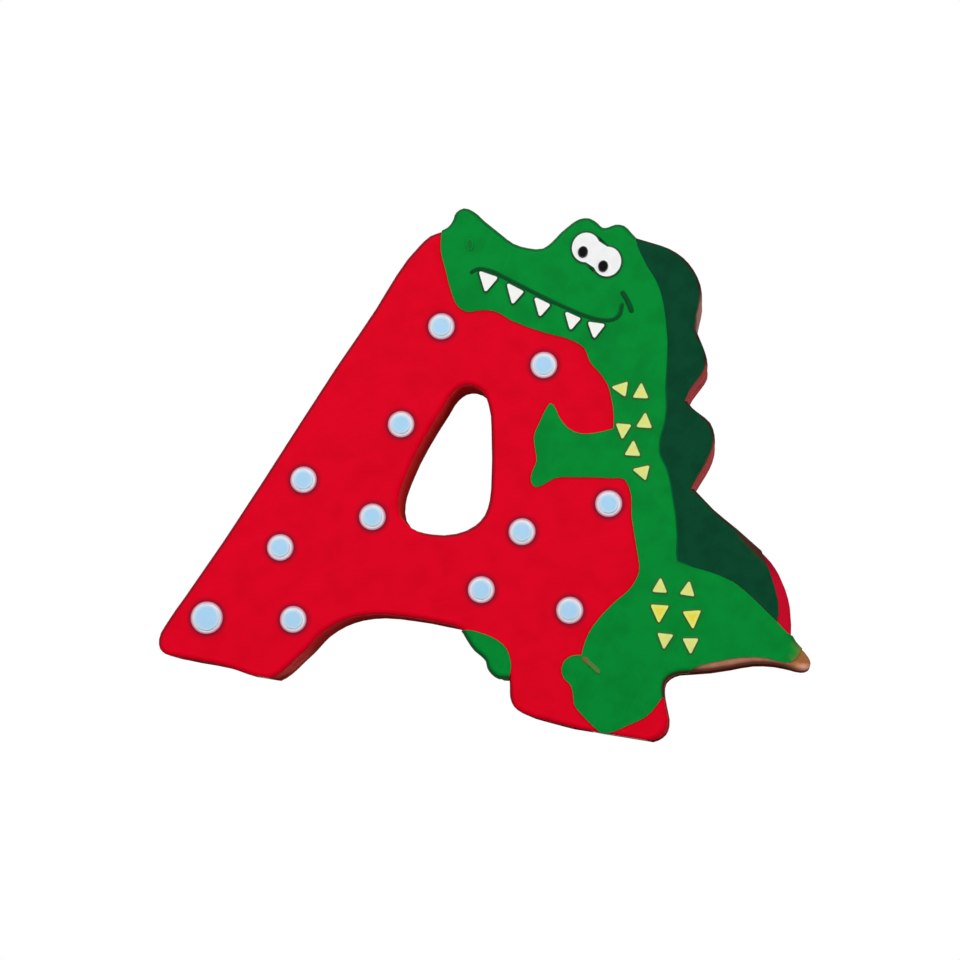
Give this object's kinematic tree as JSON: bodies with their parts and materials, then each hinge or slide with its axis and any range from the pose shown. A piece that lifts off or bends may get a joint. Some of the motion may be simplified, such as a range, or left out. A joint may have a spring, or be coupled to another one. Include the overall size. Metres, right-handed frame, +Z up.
{
  "type": "wooden letter",
  "caption": "Flat jigsaw-cut wooden letter A on two soles, painted red with polka dots and a green alligator whose head, crest, tail and foot are part of the cut outline.",
  "frame": {"origin": "bottom centre of the letter's box, on the surface the soles stand on", "axes": "+X to the tail's side as seen from the front, +Y out of the bare back, +Z up; the painted front faces -Y"},
  "size_m": [0.101, 0.0098, 0.0794],
  "materials": {
    "birch_face": "bare sanded birch veneer, grain upright",
    "birch_cross_grain": "bare birch ply, grain crosswise",
    "red_enamel": "hand-brushed satin enamel",
    "green_enamel": "hand-brushed satin enamel",
    "dark_green_enamel": "hand-brushed satin enamel",
    "white_enamel": "satin enamel",
    "pale_blue_enamel": "satin enamel",
    "yellow_enamel": "satin enamel",
    "black_enamel": "gloss enamel",
    "olive_enamel": "satin enamel"
  },
  "bodies": {
    "root": {"back_veneer": "birch_face", "rear_crossband": "birch_cross_grain", "core_ply": "birch_face", "front_crossband": "birch_cross_grain", "front_veneer": "birch_face", "red_base_coat": "red_enamel", "alligator_coat": "green_enamel", "crest_coat": "dark_green_enamel", "rear_foot_coat": "green_enamel", "dot_ground_01": "white_enamel", "dot_ground_02": "white_enamel", "dot_ground_03": "white_enamel", "dot_ground_04": "white_enamel", "dot_ground_05": "white_enamel", "dot_ground_06": "white_enamel", "dot_ground_07": "white_enamel", "dot_ground_08": "white_enamel", "dot_ground_09": "white_enamel", "dot_ground_10": "white_enamel", "dot_ground_11": "white_enamel", "dot_ground_12": "white_enamel", "dot_blue_01": "pale_blue_enamel", "dot_blue_02": "pale_blue_enamel", "dot_blue_03": "pale_blue_enamel", "dot_blue_04": "pale_blue_enamel", "dot_blue_05": "pale_blue_enamel", "dot_blue_06": "pale_blue_enamel", "dot_blue_07": "pale_blue_enamel", "dot_blue_08": "pale_blue_enamel", "dot_blue_09": "pale_blue_enamel", "dot_blue_10": "pale_blue_enamel", "dot_blue_11": "pale_blue_enamel", "dot_blue_12": "pale_blue_enamel", "eye_whites": "white_enamel", "pupil_left": "black_enamel", "pupil_right": "black_enamel", "mouth_line": "dark_green_enamel", "cheek_line": "dark_green_enamel", "toe_line": "olive_enamel", "nostril_mark": "dark_green_enamel", "tooth_1": "white_enamel", "tooth_2": "white_enamel", "tooth_3": "white_enamel", "tooth_4": "white_enamel", "tooth_5": "white_enamel", "scale_mark_01": "yellow_enamel", "scale_mark_02": "yellow_enamel", "scale_mark_03": "yellow_enamel", "scale_mark_04": "yellow_enamel", "scale_mark_05": "yellow_enamel", "scale_mark_06": "yellow_enamel", "scale_mark_07": "yellow_enamel", "scale_mark_08": "yellow_enamel", "scale_mark_09": "yellow_enamel", "scale_mark_10": "yellow_enamel", "scale_mark_11": "yellow_enamel", "scale_mark_12": "yellow_enamel"}
  },
  "joints": []
}
